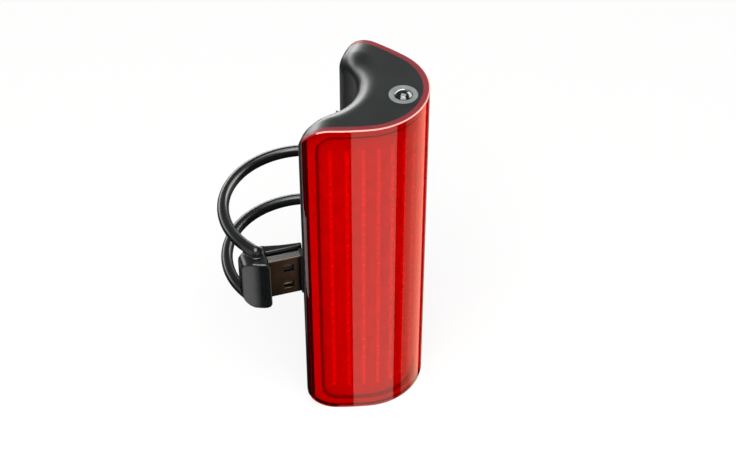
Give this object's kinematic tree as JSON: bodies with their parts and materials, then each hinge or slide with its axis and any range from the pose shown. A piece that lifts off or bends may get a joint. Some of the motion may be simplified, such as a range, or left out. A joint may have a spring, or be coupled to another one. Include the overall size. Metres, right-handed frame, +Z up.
{
  "type": "bicycle rear light",
  "caption": "Strap-on red rear bicycle light: tall curved clear lens over LED rows, concave back for a seat post, top power button with light ring, USB plug under the strap's cap.",
  "frame": {"origin": "on the axis of the seat post that the concave back takes, at the middle of the light's height", "axes": "+Z up along the post, +X the way the light shines, +Y towards the strap's anchor"},
  "size_m": [0.0528, 0.0447, 0.0959],
  "materials": {
    "black_housing": "satin moulded",
    "red_lens": "polished clear red",
    "white_plastic": "moulded",
    "dark_seal": "matte",
    "white_board": "solder mask on aluminium",
    "led_dice": "clear silicone over dice",
    "grey_ring": "translucent moulded",
    "black_gloss": "polished",
    "strap_silicone": "satin silicone",
    "boot_rubber": "matte",
    "plug_steel": "black nickel",
    "plug_insulator": "moulded",
    "gold_contact": "gold flash",
    "green_board": "solder mask",
    "black_component": "moulded epoxy",
    "ferrite_coil": "ferrite",
    "ceramic_part": "fired ceramic",
    "cell_foil": "foil laminate",
    "screw_steel": "zinc plated",
    "red_wire": "extruded",
    "black_wire": "extruded",
    "ribbon_film": "polyimide film"
  },
  "bodies": {
    "root": {"rear_housing": "black_housing", "lens": "red_lens", "window_frame": "white_plastic", "ribbon_socket": "white_plastic", "battery_socket": "white_plastic", "led_connector": "white_plastic", "frame_seal": "dark_seal", "battery_tapes": "dark_seal", "led_board": "white_board", "led_row_01": "led_dice", "led_row_02": "led_dice", "led_row_03": "led_dice", "led_row_04": "led_dice", "led_row_05": "led_dice", "led_row_06": "led_dice", "led_row_07": "led_dice", "led_row_08": "led_dice", "led_row_09": "led_dice", "led_row_10": "led_dice", "led_row_11": "led_dice", "led_row_12": "led_dice", "led_row_13": "led_dice", "led_row_14": "led_dice", "led_row_15": "led_dice", "status_leds": "led_dice", "light_ring": "grey_ring", "strap_anchor": "strap_silicone", "strap_cord_upper": "strap_silicone", "strap_cord_lower": "strap_silicone", "post_saddle": "strap_silicone", "usb_boot": "boot_rubber", "usb_shell": "plug_steel", "usb_insulator": "plug_insulator", "usb_contacts": "gold_contact", "main_board": "green_board", "switch_board": "green_board", "usb_board": "green_board", "control_chip": "black_component", "charge_chip": "black_component", "power_switch": "black_component", "power_coil": "ferrite_coil", "board_capacitors": "ceramic_part", "battery_cell": "cell_foil", "board_screws": "screw_steel", "switch_board_screws": "screw_steel", "strap_pin": "screw_steel", "battery_lead_plus": "red_wire", "battery_lead_minus": "black_wire", "usb_ribbon": "ribbon_film"},
    "button": {"power_button": "black_gloss"},
    "plunger": {"switch_plunger": "black_component"},
    "cap": {"strap_cap": "strap_silicone"}
  },
  "joints": [
    {"name": "button_press", "type": "slide", "parent": "root", "child": "button", "axis": [0, 0, -1], "range_m": [0, 0.0004], "stiffness_N_per_m": 500},
    {"name": "plunger_press", "type": "slide", "parent": "root", "child": "plunger", "axis": [0, 0, -1], "range_m": [0, 0.0004]},
    {"name": "cap_pull", "type": "slide", "parent": "root", "child": "cap", "axis": [-0.8348, -0.5505, 0], "range_m": [0, 0.0054], "stiffness_N_per_m": 150, "deforming": ["strap_cord_upper", "strap_cord_lower"]}
  ],
  "couplings": [
    {"joint": "plunger_press", "follows": "button_press", "ratio": 1}
  ]
}
